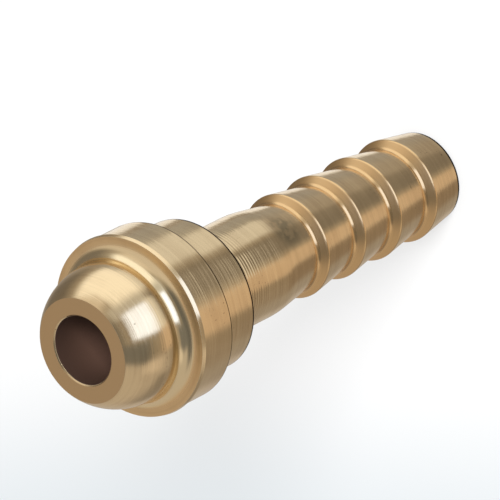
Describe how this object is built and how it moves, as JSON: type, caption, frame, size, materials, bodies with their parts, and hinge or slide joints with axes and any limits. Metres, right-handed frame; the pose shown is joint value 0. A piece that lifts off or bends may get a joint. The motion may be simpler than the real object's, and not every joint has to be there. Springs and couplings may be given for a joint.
{
  "type": "hose barb tail",
  "caption": "Turned brass hose tail: a ball nose and a flange for a union nut at one end, a barbed stem for a push-on hose at the other, and a straight bore right through.",
  "frame": {"origin": "centre of the flat face of the barbed end, on the bore axis; the part stands on that face", "axes": "+Z along the bore, from the barbed end up to the ball nose; the part is round about Z, so X and Y are free, and the picture looks along +Y and down at about 45 degrees"},
  "size_m": [0.0146, 0.0146, 0.0416],
  "materials": {
    "turned_brass": "bare turned brass, satin, with fine turning lines round the axis"
  },
  "bodies": {
    "root": {"hose_tail": "turned_brass"}
  },
  "joints": []
}
